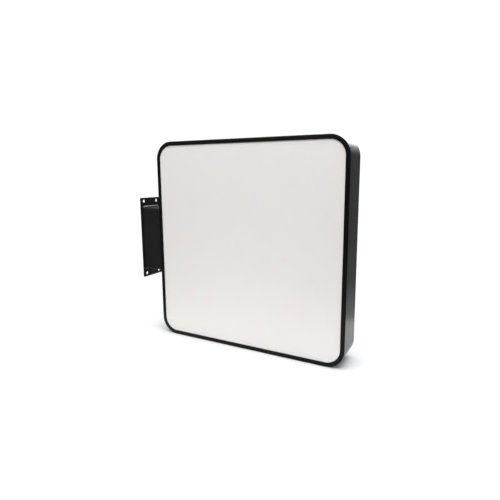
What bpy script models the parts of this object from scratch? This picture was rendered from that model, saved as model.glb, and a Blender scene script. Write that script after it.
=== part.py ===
"""A square, double-faced light box that projects from a wall on a short box bracket.

Origin: centre of the wall plate's wall-side face.  +X points away from the wall, +Y runs
through the light box from its front face to its back face, and +Z is up.
"""
import math

import bmesh
import bpy
from mathutils import Vector

MM = 0.001
GAP = 0.3 * MM                    # clearance between pieces that touch
THROUGH = 6 * MM                  # depth of a drilled hole, past any sheet it goes through

# Light box
BOX_SIZE = 500 * MM               # height and width
BOX_DEPTH = 80 * MM
CORNER_RADIUS = 44 * MM
CORNER_STEPS = 8
STANDOFF = 67.5 * MM              # wall to the near side of the box
BOX_X = STANDOFF + BOX_SIZE / 2   # centre of the box
HALF = BOX_SIZE / 2
FRONT = -BOX_DEPTH / 2            # y of the front plane

# Frame band and trim rings; depths are measured inwards from the front or back plane
WALL = 2 * MM
RIM_WIDTH = 10 * MM
RIM_THICKNESS = 1.5 * MM
RIM_CHAMFER = 1 * MM
LIP_THICKNESS = 2 * MM
LIP_DEPTH = 13 * MM
TONGUE_OFFSET = LIP_THICKNESS + GAP
TONGUE_THICKNESS = 1.6 * MM
PANEL_THICKNESS = 3 * MM
PANEL_CLEARANCE = 0.6 * MM        # room for the panel to expand
GASKET_THICKNESS = 2 * MM
GASKET_WIDTH = 5 * MM
PANEL_DEPTH = RIM_THICKNESS + GAP
GASKET_DEPTH = PANEL_DEPTH + PANEL_THICKNESS + GAP
LEDGE_DEPTH = GASKET_DEPTH + GASKET_THICKNESS + GAP
LEDGE_THICKNESS = 1.6 * MM
SHOULDER_DEPTH = LIP_DEPTH + GAP
SHOULDER_LENGTH = 1.7 * MM

# Butt joint of the bent band, on its underside
SEAM_X = BOX_X + 75 * MM
SEAM_GAP = 0.4 * MM
SPLICE_LENGTH = 60 * MM
SPLICE_DEPTH = 40 * MM
SPLICE_THICKNESS = 2 * MM
RIVET_PITCH = 36 * MM
RIVET_TAIL_RADIUS = 3.2 * MM
RIVET_TAIL_LENGTH = 1.8 * MM
WEEP_HOLE_RADIUS = 2.5 * MM
WEEP_HOLE_REACH = 185 * MM

# Countersunk screws and rivets, flush in the band
SHANK_RADIUS = 1.9 * MM
SHANK_HOLE = 2.2 * MM
FLUSH_HEAD_RADIUS = 3.6 * MM
FLUSH_RECESS = 0.1 * MM           # surface to head
COUNTERSINK_RADIUS = 4.15 * MM    # at the surface
COUNTERSINK_HOLE = 2.3 * MM
BAR_SCREW_LENGTH = 7 * MM

# Set screws, through the lip onto the band's tongue
SET_SCREW_REACH = 120 * MM        # from the middle of the lip
SET_SCREW_RADIUS = 1.5 * MM
SOCKET_RADIUS = 0.75 * MM
SOCKET_DEPTH = 1 * MM

# Bracket
PLATE_THICKNESS = 3 * MM
PLATE_DEPTH = 72 * MM
PLATE_HEIGHT = 216 * MM
PLATE_CORNER = 3 * MM
PLATE_HOLE_RADIUS = 4.25 * MM
PLATE_HOLE_Y = 23.6 * MM
PLATE_HOLE_Z = 99 * MM
CABLE_HOLE_RADIUS = 10 * MM
CABLE_HOLE_Z = -50 * MM
ARM_DEPTH = 64 * MM
ARM_HEIGHT = 166 * MM
ARM_WALL = 2 * MM
ARM_CORNER = 4 * MM
END_PLATE_THICKNESS = 3 * MM
BACKING_HALF_DEPTH = 24 * MM
BACKING_HALF_HEIGHT = 74 * MM
BOLT_Y = 17 * MM
BOLT_Z = 60 * MM
BOLT_RADIUS = 3 * MM
BOLT_HEAD = 4 * MM
NUT_FLAT = 5 * MM                 # half the width across flats
NUT_LENGTH = 5 * MM
BOLT_SPOTS = [(y, z) for y in (-BOLT_Y, BOLT_Y) for z in (BOLT_Z, -BOLT_Z)]

# Cable gland, on the axis of the bracket
GLAND_RADIUS = 8 * MM
GLAND_BORE = 4.5 * MM
GLAND_FLAT = 10 * MM              # half the width across flats
GLAND_NECK = 7.5 * MM
GLAND_NECK_LENGTH = 7 * MM
GLAND_FLANGE_LENGTH = 5 * MM
GLAND_TAIL_LENGTH = 6 * MM        # past the backing plate
CAP_LENGTH = 7 * MM               # past the end of the neck
CAP_MOUTH_RADIUS = 6.5 * MM
CAP_DOME_LENGTH = 5 * MM
CAP_LIP_LENGTH = 2.5 * MM
CAP_LIP_RADIUS = 6 * MM
SEAL_BORE = 3.6 * MM
SEAL_FRONT_RADIUS = 5.6 * MM
SEAL_BACK_RADIUS = 7 * MM
LOCK_NUT_FLAT = 11 * MM
LOCK_NUT_LENGTH = 4.5 * MM

# Lighting
BAR_SPACING = 150 * MM
BAR_WIDTH = 20 * MM
BAR_THICKNESS = 4 * MM
FOOT_LENGTH = 14 * MM
FOOT_THICKNESS = 3 * MM
STRIP_WIDTH = 14 * MM
STRIP_HALF_LENGTH = 220 * MM
BOARD_THICKNESS = 1.2 * MM
LENS_COUNT = 6
LENS_PITCH = 75 * MM
LENS_RADIUS = 5 * MM
LENS_RIM = 1.5 * MM
LENS_SHOULDER = 3.2 * MM
LENS_HEIGHT = 4 * MM
CONNECTOR = Vector((12, 5, 8)) * MM
LEAD_Y = 6 * MM
LEAD_X = 3 * MM                   # from the middle of a strip, to either side
LEAD_DROP = 16 * MM               # how far the links hang below the strips
LINK_LEAD = 3 * MM
MAINS_LEAD = 5 * MM

# Driver and terminal block, on the near side wall
DRIVER_LOW = Vector((0, -20, -194)) * MM
DRIVER_SIZE = Vector((28, 40, 102)) * MM
DRIVER_BEVEL = 1.5 * MM
DRIVER_TAB = 11 * MM
TAB_HALF_WIDTH = 12 * MM
TAB_THICKNESS = 2.5 * MM
DRIVER_SCREW_RADIUS = 1.8 * MM
PAN_HEAD_RADIUS = 3.5 * MM
PAN_HEAD_TOP_RADIUS = 2.8 * MM
PAN_HEAD_HEIGHT = 1.8 * MM
TERMINAL_LOW = Vector((0, -12, 92)) * MM
TERMINAL_SIZE = Vector((15, 24, 30)) * MM
TERMINAL_BEVEL = 1 * MM

ROUND = False
HEX = True
X_AXIS = Vector((1, 0, 0))
Z_AXIS = Vector((0, 0, 1))

materials = {}


def add_material(name, colour, roughness, metallic=0.0):
    """A Principled material kept under its plain name."""
    material = bpy.data.materials.new(name)
    material.use_nodes = True
    shader = material.node_tree.nodes["Principled BSDF"]
    shader.inputs["Base Color"].default_value = (*colour, 1.0)
    shader.inputs["Roughness"].default_value = roughness
    shader.inputs["Metallic"].default_value = metallic
    materials[name] = material


def add_materials():
    add_material("black_paint", (0.012, 0.012, 0.013), 0.35)
    add_material("charcoal_paint", (0.022, 0.022, 0.024), 0.45)
    add_material("opal_acrylic", (0.86, 0.85, 0.83), 0.12)
    add_material("black_foam", (0.02, 0.02, 0.02), 0.9)
    add_material("zinc_steel", (0.62, 0.62, 0.6), 0.35, 1.0)
    add_material("aluminium", (0.75, 0.75, 0.76), 0.4, 1.0)
    add_material("white_board", (0.9, 0.9, 0.88), 0.5)
    add_material("white_plastic", (0.85, 0.85, 0.83), 0.45)
    add_material("black_plastic", (0.03, 0.03, 0.03), 0.5)
    add_material("rubber", (0.03, 0.03, 0.03), 0.8)
    add_material("red_black_lead", (0.25, 0.02, 0.02), 0.5)


def clear_scene():
    for item in list(bpy.data.objects):
        bpy.data.objects.remove(item, do_unlink=True)


def add_empty(name, location):
    empty = bpy.data.objects.new(name, None)
    empty.location = location
    bpy.context.scene.collection.objects.link(empty)
    return empty


def finish_mesh(name, bm, material, parent):
    """Turn the faces outwards, shade the round ones smooth and link the object."""
    bmesh.ops.recalc_face_normals(bm, faces=bm.faces)
    mesh = bpy.data.meshes.new(name)
    bm.to_mesh(mesh)
    bm.free()
    mesh.shade_smooth()
    mesh.set_sharp_from_angle(angle=math.radians(30))
    item = bpy.data.objects.new(name, mesh)
    if material:
        mesh.materials.append(materials[material])
    bpy.context.scene.collection.objects.link(item)
    if parent:
        item.parent = parent
        item.matrix_parent_inverse = parent.matrix_basis.inverted()
    return item


def loft(bm, rows, closed_path=True):
    """Join rows of points into one closed skin; a row of one point is a tip on the axis."""
    rings = [[bm.verts.new(point) for point in row] for row in rows]
    count = max(len(ring) for ring in rings)
    spans = count if closed_path else count - 1
    for ring, following in zip(rings, rings[1:] + rings[:1]):
        if len(ring) == len(following) == 1:
            continue
        for i in range(spans):
            j = (i + 1) % count
            corners = [ring[i % len(ring)], ring[j % len(ring)]]
            corners += [following[j % len(following)], following[i % len(following)]]
            bm.faces.new(list(dict.fromkeys(corners)))
    if not closed_path:
        bm.faces.new([ring[0] for ring in rings])
        bm.faces.new([ring[-1] for ring in reversed(rings)])


def turned_rows(base, axis, profile, sides):
    """Rows for a profile of (distance, radius, shape) turned about an axis through base."""
    turn = axis.to_track_quat("Z", "X")
    rows = []
    for distance, radius, shape in profile:
        row = []
        for k in range(sides if radius > 0 else 1):
            angle = math.tau * k / sides
            reach = radius
            if shape is HEX and k % 2 == 0:
                reach = radius / math.cos(math.radians(30))
            spoke = Vector((reach * math.cos(angle), reach * math.sin(angle), distance))
            row.append(base + turn @ spoke)
        rows.append(row)
    return rows


def turned(name, base, axis, profile, material, parent, sides=12):
    bm = bmesh.new()
    loft(bm, turned_rows(base, axis, profile, sides))
    return finish_mesh(name, bm, material, parent)


def prism_into(bm, outline, sweep):
    """A flat outline pushed along the sweep vector."""
    near = [Vector(point) for point in outline]
    far = [point + sweep for point in near]
    loft(bm, list(zip(near, far)), closed_path=False)


def prism(name, outline, sweep, material, parent):
    bm = bmesh.new()
    prism_into(bm, outline, sweep)
    return finish_mesh(name, bm, material, parent)


def block_outline(low, high):
    corners = [(low.y, low.z), (high.y, low.z), (high.y, high.z), (low.y, high.z)]
    return [(low.x, y, z) for y, z in corners]


def block(name, low, high, material, parent, bevel=0.0):
    item = prism(name, block_outline(low, high), X_AXIS * (high.x - low.x), material, parent)
    if bevel:
        edge = item.modifiers.new("bevel", "BEVEL")
        edge.width = bevel
        edge.segments = 1
    return item


def tool(name, bm):
    """A hidden helper body for a Boolean modifier."""
    item = finish_mesh(name, bm, None, None)
    item.hide_render = True
    item.display_type = "WIRE"
    return item


def combine(item, bm, operation):
    """Cut a helper mesh out of the object, or join it on."""
    change = item.modifiers.new(operation.lower(), "BOOLEAN")
    change.operation = operation
    change.solver = "EXACT"
    change.object = tool(item.name + "_" + operation.lower(), bm)


def plain_hole(mouth, axis, radius, sides=12):
    """A cutter that starts a little outside the mouth."""
    profile = [(-MM, 0, ROUND), (-MM, radius, ROUND), (THROUGH, radius, ROUND), (THROUGH, 0, ROUND)]
    return turned_rows(mouth, axis, profile, sides)


def countersunk_hole(mouth, axis):
    """A 45-degree countersink and its through hole, as a cutter that starts outside the mouth."""
    neck = COUNTERSINK_RADIUS - COUNTERSINK_HOLE
    profile = [
        (-MM, 0, ROUND), (-MM, COUNTERSINK_RADIUS + MM, ROUND), (neck, COUNTERSINK_HOLE, ROUND),
        (THROUGH, COUNTERSINK_HOLE, ROUND), (THROUGH, 0, ROUND),
    ]
    return turned_rows(mouth, axis, profile, 12)


def flush_head():
    """The start of a profile: a 45-degree countersunk head that narrows to the shank."""
    neck = FLUSH_RECESS + FLUSH_HEAD_RADIUS - SHANK_RADIUS
    return [
        (FLUSH_RECESS, 0, ROUND), (FLUSH_RECESS, FLUSH_HEAD_RADIUS, ROUND), (neck, SHANK_RADIUS, ROUND),
    ]


def drill(item, holes):
    """Cut all the holes, given as rows of points, with one helper mesh."""
    bm = bmesh.new()
    for rows in holes:
        loft(bm, rows)
    combine(item, bm, "DIFFERENCE")


def rounded_rectangle(half_y, half_z, radius, steps=3):
    points = []
    for quarter in range(4):
        middle = math.radians(90 * quarter + 45)
        centre_y = math.copysign(half_y - radius, math.cos(middle))
        centre_z = math.copysign(half_z - radius, math.sin(middle))
        for step in range(steps + 1):
            angle = math.radians(90 * (quarter + step / steps))
            points.append((centre_y + radius * math.cos(angle), centre_z + radius * math.sin(angle)))
    return points


def box_path(offset, y, seam_x=None):
    """The light box's outline moved inwards by offset, at depth y; open at the seam if given."""
    radius = CORNER_RADIUS - offset
    reach = HALF - CORNER_RADIUS
    stations = []
    for quarter in (3, 0, 1, 2):
        middle = math.radians(90 * quarter + 45)
        centre_x = BOX_X + math.copysign(reach, math.cos(middle))
        centre_z = math.copysign(reach, math.sin(middle))
        for step in range(CORNER_STEPS + 1):
            angle = math.radians(90 * (quarter + step / CORNER_STEPS))
            x = centre_x + radius * math.cos(angle)
            stations.append((x, y, centre_z + radius * math.sin(angle)))
    if seam_x is not None:
        stations.insert(0, (seam_x + SEAM_GAP / 2, y, offset - HALF))
        stations.append((seam_x - SEAM_GAP / 2, y, offset - HALF))
    return stations


def swept_ring(name, section, material, parent, seam_x=None):
    """A closed section of (inward offset, y) corners run round the light box's outline."""
    bm = bmesh.new()
    loft(bm, [box_path(offset, y, seam_x) for offset, y in section], closed_path=seam_x is None)
    return finish_mesh(name, bm, material, parent)


def face_y(side, depth):
    """y at a depth below the front plane (side -1) or the back plane (side 1)."""
    return side * (BOX_DEPTH / 2 - depth)


def make_band(root):
    """The bent side wall, with a tongue under each trim lip and a ledge behind each gasket."""
    inner = TONGUE_OFFSET + TONGUE_THICKNESS
    shoulder = SHOULDER_DEPTH + SHOULDER_LENGTH
    half_section = [
        (0, SHOULDER_DEPTH), (TONGUE_OFFSET, SHOULDER_DEPTH), (TONGUE_OFFSET, LEDGE_DEPTH),
        (RIM_WIDTH, LEDGE_DEPTH), (RIM_WIDTH, LEDGE_DEPTH + LEDGE_THICKNESS),
        (inner, LEDGE_DEPTH + LEDGE_THICKNESS), (inner, shoulder), (WALL, shoulder),
    ]
    section = [(offset, face_y(-1, depth)) for offset, depth in half_section]
    section += [(offset, face_y(1, depth)) for offset, depth in reversed(half_section)]
    band = swept_ring("frame_band", section, "charcoal_paint", root, SEAM_X)

    holes = joint_holes(STANDOFF)
    for z in driver_screw_heights():
        holes.append(plain_hole(Vector((STANDOFF, 0, z)), X_AXIS, DRIVER_SCREW_RADIUS + GAP))
    for mouth, inward in bar_screw_mouths() + rivet_mouths():
        holes.append(countersunk_hole(mouth, inward))
    for way in (-1, 1):
        weep = Vector((BOX_X + way * WEEP_HOLE_REACH, 0, -HALF))
        holes.append(plain_hole(weep, Z_AXIS, WEEP_HOLE_RADIUS))
    drill(band, holes)


def rivet_mouths():
    """Where each splice rivet enters the band, and the direction it points."""
    return [(Vector((SEAM_X + way * RIVET_PITCH / 2, 0, -HALF)), Z_AXIS) for way in (-1, 1)]


def make_splice(root):
    """The plate that bridges the band's butt joint, held by two countersunk rivets."""
    low = Vector((SEAM_X - SPLICE_LENGTH / 2, -SPLICE_DEPTH / 2, -HALF + WALL + GAP))
    high = low + Vector((SPLICE_LENGTH, SPLICE_DEPTH, SPLICE_THICKNESS))
    plate = block("splice_plate", low, high, "aluminium", root)
    drill(plate, [plain_hole(mouth, axis, SHANK_HOLE) for mouth, axis in rivet_mouths()])
    tail = WALL + GAP + SPLICE_THICKNESS + GAP
    end = tail + RIVET_TAIL_LENGTH
    profile = flush_head() + [
        (tail, SHANK_RADIUS, ROUND), (tail, RIVET_TAIL_RADIUS, ROUND),
        (end, 0.75 * RIVET_TAIL_RADIUS, ROUND), (end, 0, ROUND),
    ]
    for number, (mouth, axis) in enumerate(rivet_mouths(), 1):
        turned(f"splice_rivet_{number}", mouth, axis, profile, "aluminium", root)


def make_face(side, label, slide):
    """Trim ring, opal panel, gasket and four set screws of one face."""
    chamfer = RIM_CHAMFER
    section = [
        (0, chamfer), (chamfer, 0), (RIM_WIDTH, 0), (RIM_WIDTH, RIM_THICKNESS),
        (LIP_THICKNESS, RIM_THICKNESS), (LIP_THICKNESS, LIP_DEPTH), (0, LIP_DEPTH),
    ]
    section = [(offset, face_y(side, depth)) for offset, depth in section]
    trim = swept_ring(label + "_trim", section, "black_paint", slide)

    panel_offset = LIP_THICKNESS + PANEL_CLEARANCE
    outline = box_path(panel_offset, face_y(side, PANEL_DEPTH))
    thickness = Vector((0, -side * PANEL_THICKNESS, 0))
    prism(label + "_panel", outline, thickness, "opal_acrylic", slide)

    near = face_y(side, GASKET_DEPTH)
    far = face_y(side, GASKET_DEPTH + GASKET_THICKNESS)
    outer = panel_offset + GAP
    strip = [(outer, near), (outer + GASKET_WIDTH, near), (outer + GASKET_WIDTH, far), (outer, far)]
    swept_ring(label + "_gasket", strip, "black_foam", slide)

    tongue_middle = face_y(side, (LEDGE_DEPTH + LIP_DEPTH) / 2)
    tip = TONGUE_OFFSET - GAP
    floor = FLUSH_RECESS + SOCKET_DEPTH
    profile = [
        (floor, 0, ROUND), (floor, SOCKET_RADIUS, HEX), (FLUSH_RECESS, SOCKET_RADIUS, HEX),
        (FLUSH_RECESS, SET_SCREW_RADIUS, ROUND), (tip, SET_SCREW_RADIUS, ROUND), (tip, 0, ROUND),
    ]
    holes = []
    spots = [(way, end) for end in (1, -1) for way in (-1, 1)]
    for number, (way, end) in enumerate(spots, 1):
        mouth = Vector((BOX_X + way * SET_SCREW_REACH, tongue_middle, end * HALF))
        inward = Z_AXIS * -end
        turned(f"{label}_set_screw_{number}", mouth, inward, profile, "zinc_steel", slide)
        holes.append(plain_hole(mouth, inward, SET_SCREW_RADIUS + GAP))
    drill(trim, holes)


def make_bracket(root):
    """Wall plate, welded box arm and end plate."""
    outline = [(0, y, z) for y, z in rounded_rectangle(PLATE_DEPTH / 2, PLATE_HEIGHT / 2, PLATE_CORNER)]
    plate = prism("wall_plate", outline, X_AXIS * PLATE_THICKNESS, "charcoal_paint", root)
    holes = []
    for y in (-PLATE_HOLE_Y, PLATE_HOLE_Y):
        for z in (-PLATE_HOLE_Z, PLATE_HOLE_Z):
            holes.append(plain_hole(Vector((0, y, z)), X_AXIS, PLATE_HOLE_RADIUS, 16))
    holes.append(plain_hole(Vector((0, 0, CABLE_HOLE_Z)), X_AXIS, CABLE_HOLE_RADIUS, 24))
    drill(plate, holes)

    start = PLATE_THICKNESS + GAP
    stop = STANDOFF - GAP
    outer = rounded_rectangle(ARM_DEPTH / 2, ARM_HEIGHT / 2, ARM_CORNER)
    inner = rounded_rectangle(ARM_DEPTH / 2 - ARM_WALL, ARM_HEIGHT / 2 - ARM_WALL, ARM_CORNER - ARM_WALL)
    ends = [(start, outer), (stop, outer), (stop, inner), (start, inner)]
    bm = bmesh.new()
    loft(bm, [[(x, y, z) for y, z in ring] for x, ring in ends])
    finish_mesh("bracket_arm", bm, "charcoal_paint", root)

    recess = ARM_WALL + GAP
    end_start = stop - END_PLATE_THICKNESS
    flange = rounded_rectangle(ARM_DEPTH / 2 - recess, ARM_HEIGHT / 2 - recess, ARM_CORNER - recess)
    outline = [(end_start, y, z) for y, z in flange]
    end_plate = prism("arm_end_plate", outline, X_AXIS * END_PLATE_THICKNESS, "charcoal_paint", root)
    drill(end_plate, joint_holes(end_start))


def joint_holes(x):
    """Four bolt holes and the gland hole, through a sheet whose near face is at x."""
    holes = [plain_hole(Vector((x, y, z)), X_AXIS, BOLT_RADIUS + GAP) for y, z in BOLT_SPOTS]
    return holes + [plain_hole(Vector((x, 0, 0)), X_AXIS, GLAND_RADIUS + GAP, 16)]


def make_box_joint(root):
    """Backing plate, bolts and nuts that clamp the light box to the arm's end plate."""
    inside = STANDOFF + WALL + GAP
    low = Vector((inside, -BACKING_HALF_DEPTH, -BACKING_HALF_HEIGHT))
    high = Vector((inside + END_PLATE_THICKNESS, BACKING_HALF_DEPTH, BACKING_HALF_HEIGHT))
    drill(block("backing_plate", low, high, "zinc_steel", root), joint_holes(low.x))

    nut_face = STANDOFF - GAP - END_PLATE_THICKNESS - GAP
    head_face = high.x + GAP
    shank_end = nut_face - NUT_LENGTH - MM
    head_top = head_face + BOLT_HEAD
    bolt = [
        (head_top, 0, ROUND), (head_top, NUT_FLAT, HEX), (head_face, NUT_FLAT, HEX),
        (head_face, BOLT_RADIUS, ROUND), (shank_end, BOLT_RADIUS, ROUND), (shank_end, 0, ROUND),
    ]
    bore = BOLT_RADIUS + GAP
    nut = [
        (nut_face, bore, ROUND), (nut_face, NUT_FLAT, HEX),
        (nut_face - NUT_LENGTH, NUT_FLAT, HEX), (nut_face - NUT_LENGTH, bore, ROUND),
    ]
    for number, (y, z) in enumerate(BOLT_SPOTS, 1):
        spot = Vector((0, y, z))
        turned(f"arm_bolt_{number}", spot, X_AXIS, bolt, "zinc_steel", root)
        turned(f"weld_nut_{number}", spot, X_AXIS, nut, "zinc_steel", root)


def make_gland(root):
    """Cable gland through end plate, band and backing plate; its mouth is in the arm."""
    flange_face = STANDOFF - GAP - END_PLATE_THICKNESS - GAP
    flange_back = flange_face - GLAND_FLANGE_LENGTH
    neck_end = flange_back - GLAND_NECK_LENGTH
    lock_face = STANDOFF + WALL + GAP + END_PLATE_THICKNESS + GAP
    tail_end = lock_face + GLAND_TAIL_LENGTH
    centre = Vector((0, 0, 0))
    body = [
        (neck_end, GLAND_BORE, ROUND), (neck_end, GLAND_NECK, ROUND), (flange_back, GLAND_NECK, ROUND),
        (flange_back, GLAND_FLAT, HEX), (flange_face, GLAND_FLAT, HEX), (flange_face, GLAND_RADIUS, ROUND),
        (tail_end, GLAND_RADIUS, ROUND), (tail_end, GLAND_BORE, ROUND),
    ]
    turned("gland_body", centre, X_AXIS, body, "black_plastic", root)
    mouth = neck_end - CAP_LENGTH
    lip_end = mouth + CAP_LIP_LENGTH
    throat = GLAND_NECK + GAP
    cap = [
        (mouth, GLAND_BORE, ROUND), (mouth, CAP_MOUTH_RADIUS, ROUND),
        (mouth + CAP_DOME_LENGTH, GLAND_FLAT, HEX), (flange_back - GAP, GLAND_FLAT, HEX),
        (flange_back - GAP, throat, ROUND), (neck_end - GAP, throat, ROUND),
        (lip_end, CAP_LIP_RADIUS, ROUND), (lip_end, GLAND_BORE, ROUND),
    ]
    turned("gland_dome_nut", centre, X_AXIS, cap, "black_plastic", root)
    seal_front = lip_end + 0.5 * MM
    seal = [
        (seal_front, SEAL_BORE, ROUND), (seal_front, SEAL_FRONT_RADIUS, ROUND),
        (neck_end - GAP, SEAL_BACK_RADIUS, ROUND), (neck_end - GAP, SEAL_BORE, ROUND),
    ]
    turned("gland_seal", centre, X_AXIS, seal, "rubber", root)
    bore = GLAND_RADIUS + GAP
    lock_end = lock_face + LOCK_NUT_LENGTH
    lock = [
        (lock_face, bore, ROUND), (lock_face, LOCK_NUT_FLAT, HEX),
        (lock_end, LOCK_NUT_FLAT, HEX), (lock_end, bore, ROUND),
    ]
    turned("gland_lock_nut", centre, X_AXIS, lock, "black_plastic", root)


def bar_places():
    return [BOX_X + step * BAR_SPACING for step in (-1, 0, 1)]


def bar_screw_mouths():
    """Where each light bar's top and bottom screws enter the band, and the way they point."""
    y = BAR_THICKNESS / 2 + FOOT_LENGTH / 2
    return [(Vector((x, y, end * HALF)), Z_AXIS * -end) for x in bar_places() for end in (1, -1)]


def make_light_bars(root):
    """Upright bars with bent feet, screwed through the band at top and bottom."""
    half = BAR_THICKNESS / 2
    tall = HALF - WALL - GAP
    under = tall - FOOT_THICKNESS
    toe = half + FOOT_LENGTH
    outline = [
        (-half, -tall), (toe, -tall), (toe, -under), (half, -under),
        (half, under), (toe, under), (toe, tall), (-half, tall),
    ]
    mouths = bar_screw_mouths()
    for number, x in enumerate(bar_places(), 1):
        corners = [(x - BAR_WIDTH / 2, y, z) for y, z in outline]
        bar = prism(f"light_bar_{number}", corners, X_AXIS * BAR_WIDTH, "aluminium", root)
        ends = mouths[2 * number - 2:2 * number]
        drill(bar, [plain_hole(mouth, axis, SHANK_HOLE) for mouth, axis in ends])
    screw = flush_head() + [(BAR_SCREW_LENGTH, SHANK_RADIUS, ROUND), (BAR_SCREW_LENGTH, 0, ROUND)]
    for number, (mouth, inward) in enumerate(mouths, 1):
        turned(f"bar_screw_{number}", mouth, inward, screw, "zinc_steel", root)


def make_led_strip(name, x, side, root):
    """A circuit board with moulded lenses and a connector at its lower end, on one face of a bar."""
    inner = BAR_THICKNESS / 2 + GAP
    outer = inner + BOARD_THICKNESS
    edge = STRIP_WIDTH / 2
    low_y, high_y = sorted((side * inner, side * outer))
    low = Vector((x - edge, low_y, -STRIP_HALF_LENGTH))
    high = Vector((x + edge, high_y, STRIP_HALF_LENGTH))
    board = block(name, low, high, "white_board", root)
    outward = Vector((0, side, 0))
    bury = BOARD_THICKNESS / 2
    lens = [
        (-bury, 0, ROUND), (-bury, LENS_RADIUS, ROUND), (LENS_RIM, LENS_RADIUS, ROUND),
        (LENS_SHOULDER, 0.7 * LENS_RADIUS, ROUND), (LENS_HEIGHT, 0, ROUND),
    ]
    bm = bmesh.new()
    for step in range(LENS_COUNT):
        z = (step - (LENS_COUNT - 1) / 2) * LENS_PITCH
        loft(bm, turned_rows(Vector((x, side * outer, z)), outward, lens, 10))
    start = Vector((x - CONNECTOR.x / 2, side * (outer - bury), -STRIP_HALF_LENGTH))
    stop = start + Vector((CONNECTOR.x, side * (CONNECTOR.y + bury), CONNECTOR.z))
    prism_into(bm, block_outline(start, stop), X_AXIS * CONNECTOR.x)
    combine(board, bm, "UNION")


def driver_screw_heights():
    return [DRIVER_LOW.z - DRIVER_TAB / 2, DRIVER_LOW.z + DRIVER_SIZE.z + DRIVER_TAB / 2]


def make_driver(root):
    """Enclosed power supply with a fixing tab at each end, and its two screws."""
    near = STANDOFF + WALL + GAP
    low = DRIVER_LOW + X_AXIS * near
    case = block("led_driver", low, low + DRIVER_SIZE, "white_plastic", root, DRIVER_BEVEL)
    bm = bmesh.new()
    tab_low = Vector((near, -TAB_HALF_WIDTH, low.z - DRIVER_TAB))
    tab_high = Vector((near + TAB_THICKNESS, TAB_HALF_WIDTH, low.z + DRIVER_SIZE.z + DRIVER_TAB))
    prism_into(bm, block_outline(tab_low, tab_high), X_AXIS * TAB_THICKNESS)
    combine(case, bm, "UNION")
    heights = driver_screw_heights()
    drill(case, [plain_hole(Vector((near, 0, z)), X_AXIS, DRIVER_SCREW_RADIUS + GAP) for z in heights])
    tip = STANDOFF + GAP
    head = tab_high.x + GAP
    top = head + PAN_HEAD_HEIGHT
    screw = [
        (tip, 0, ROUND), (tip, DRIVER_SCREW_RADIUS, ROUND), (head, DRIVER_SCREW_RADIUS, ROUND),
        (head, PAN_HEAD_RADIUS, ROUND), (top, PAN_HEAD_TOP_RADIUS, ROUND), (top, 0, ROUND),
    ]
    for number, z in enumerate(heights, 1):
        turned(f"driver_screw_{number}", Z_AXIS * z, X_AXIS, screw, "zinc_steel", root)


def make_terminal_block(root):
    low = TERMINAL_LOW + X_AXIS * (STANDOFF + WALL + GAP)
    block("terminal_block", low, low + TERMINAL_SIZE, "white_plastic", root, TERMINAL_BEVEL)


def smooth_route(points, spacing):
    """Points about spacing apart on a Catmull-Rom curve through the route's own points."""
    knots = [points[0]] + points + [points[-1]]
    route = []
    for p0, p1, p2, p3 in zip(knots, knots[1:], knots[2:], knots[3:]):
        count = max(1, round((p2 - p1).length / spacing))
        for step in range(count):
            t = step / count
            cubic = (2 * p1 + (p2 - p0) * t + (2 * p0 - 5 * p1 + 4 * p2 - p3) * t ** 2
                     + (3 * p1 - p0 - 3 * p2 + p3) * t ** 3)
            route.append(cubic / 2)
    return route + [points[-1]]


def lead(name, points, diameter, material, root):
    """A round lead along a smooth route, with flat ends."""
    curve = bpy.data.curves.new(name, "CURVE")
    curve.dimensions = "3D"
    curve.bevel_depth = diameter / 2
    curve.bevel_resolution = 2
    curve.use_fill_caps = True
    curve.materials.append(materials[material])
    route = smooth_route([Vector(point) * MM for point in points], 2.5 * diameter)
    spline = curve.splines.new("POLY")
    spline.points.add(len(route) - 1)
    for knot, point in zip(spline.points, route):
        knot.co = (*point, 1)
    item = bpy.data.objects.new(name, curve)
    bpy.context.scene.collection.objects.link(item)
    item.parent = root


def make_link(name, left, right, side, root):
    """A lead that hangs between the connectors of two neighbouring strips, in millimetres."""
    top = -(STRIP_HALF_LENGTH + GAP) / MM
    low = top - LEAD_DROP / MM
    y = side * LEAD_Y / MM
    start = (left + LEAD_X) / MM
    stop = (right - LEAD_X) / MM
    points = [(start, y, top), (start, y, top - 5), (start + 4, y, low + 5), (start + 20, y, low)]
    points += [(stop - 20, y, low), (stop - 4, y, low + 5), (stop, y, top - 5), (stop, y, top)]
    lead(name, points, LINK_LEAD, "red_black_lead", root)


def make_leads(root):
    """Mains lead to the driver, low-voltage lead to the first strip, and the links; routes in mm."""
    mains = [
        (78, 0, 91.7), (78, 0, 86), (82, 8, 66), (87, 14, 40), (89, 15, 0),
        (88, 13, -40), (85, 5, -70), (84, 0, -84), (84, 0, -91.7),
    ]
    lead("mains_link_lead", mains, MAINS_LEAD, "black_plastic", root)
    first, middle, last = bar_places()
    end = (first - LEAD_X) / MM
    feed = [
        (84, 0, -194.3), (84, 0, -202), (87, -2, -216), (98, -4, -230), (120, -6, -236),
        (end - 18, -6, -236), (end - 4, -6, -231), (end, -6, -225), (end, -6, -220.3),
    ]
    lead("driver_output_lead", feed, LINK_LEAD, "red_black_lead", root)
    make_link("front_link_lead_1", first, middle, -1, root)
    make_link("front_link_lead_2", middle, last, -1, root)
    make_link("back_link_lead_1", first, middle, 1, root)
    make_link("back_link_lead_2", middle, last, 1, root)
    end = (last + LEAD_X) / MM
    crossing = [
        (end, -6, -220.3), (end, -6, -225), (end + 5, -6, -231), (end + 11, -3.5, -234),
        (end + 13, 0, -235), (end + 11, 3.5, -234), (end + 5, 6, -231), (end, 6, -225), (end, 6, -220.3),
    ]
    lead("crossing_lead", crossing, LINK_LEAD, "red_black_lead", root)


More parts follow.
